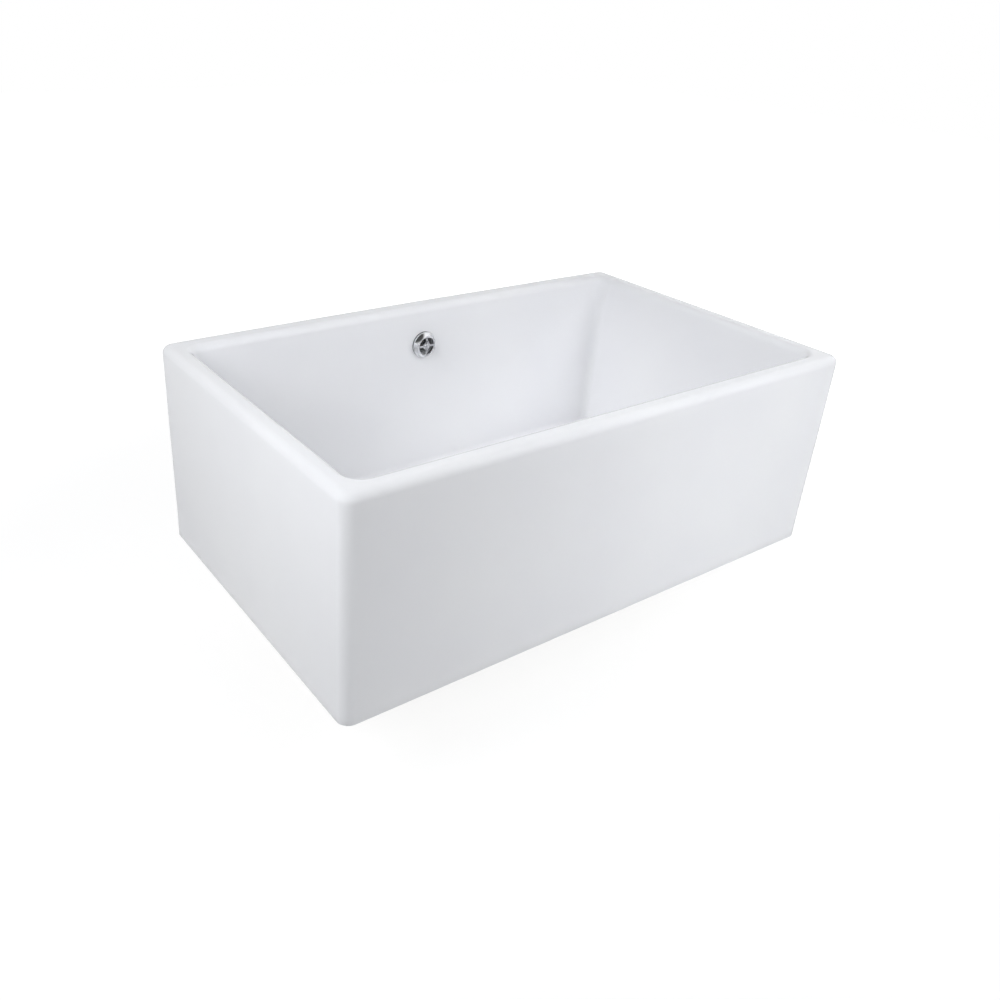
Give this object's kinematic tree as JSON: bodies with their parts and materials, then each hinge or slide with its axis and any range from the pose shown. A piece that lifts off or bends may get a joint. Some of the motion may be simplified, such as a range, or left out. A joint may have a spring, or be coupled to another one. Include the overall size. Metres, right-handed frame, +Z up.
{
  "type": "farmhouse apron front sink",
  "caption": "Rectangular single-bowl apron front kitchen sink in white glazed fireclay, with an overflow fitting, a ribbed overflow hose and a basket strainer waste.",
  "frame": {"origin": "middle of the bowl's flat underside, on the axis of the waste", "axes": "+X to the right along the apron, +Y from the apron front to the back wall, +Z up"},
  "size_m": [0.762, 0.4992, 0.376],
  "materials": {
    "fireclay": "white gloss glaze",
    "chrome": "polished chrome plate",
    "steel": "satin stainless",
    "brass": "turned",
    "black_rubber": "moulded",
    "grey_rubber": "moulded",
    "white_plastic": "moulded",
    "hose_plastic": "blow-moulded"
  },
  "bodies": {
    "sink": {"sink_bowl": "fireclay", "overflow_rose": "chrome", "overflow_screw": "chrome", "rose_gasket": "grey_rubber", "overflow_seal": "black_rubber", "overflow_elbow": "white_plastic", "elbow_insert": "brass", "upper_washer": "black_rubber", "upper_nut": "white_plastic", "overflow_hose": "hose_plastic", "lower_washer": "black_rubber", "lower_nut": "white_plastic", "strainer_cup": "steel", "flange_seal": "grey_rubber", "body_seal": "black_rubber", "waste_body": "white_plastic", "body_insert": "brass", "clamp_bolt": "steel"},
    "basket": {"strainer_basket": "steel", "basket_post": "steel", "basket_spacer": "white_plastic", "basket_stopper": "black_rubber", "basket_nut": "steel"}
  },
  "joints": [
    {"name": "basket_lift", "type": "slide", "parent": "sink", "child": "basket", "axis": [0, 0, 1], "range_m": [0, 0.32]}
  ]
}
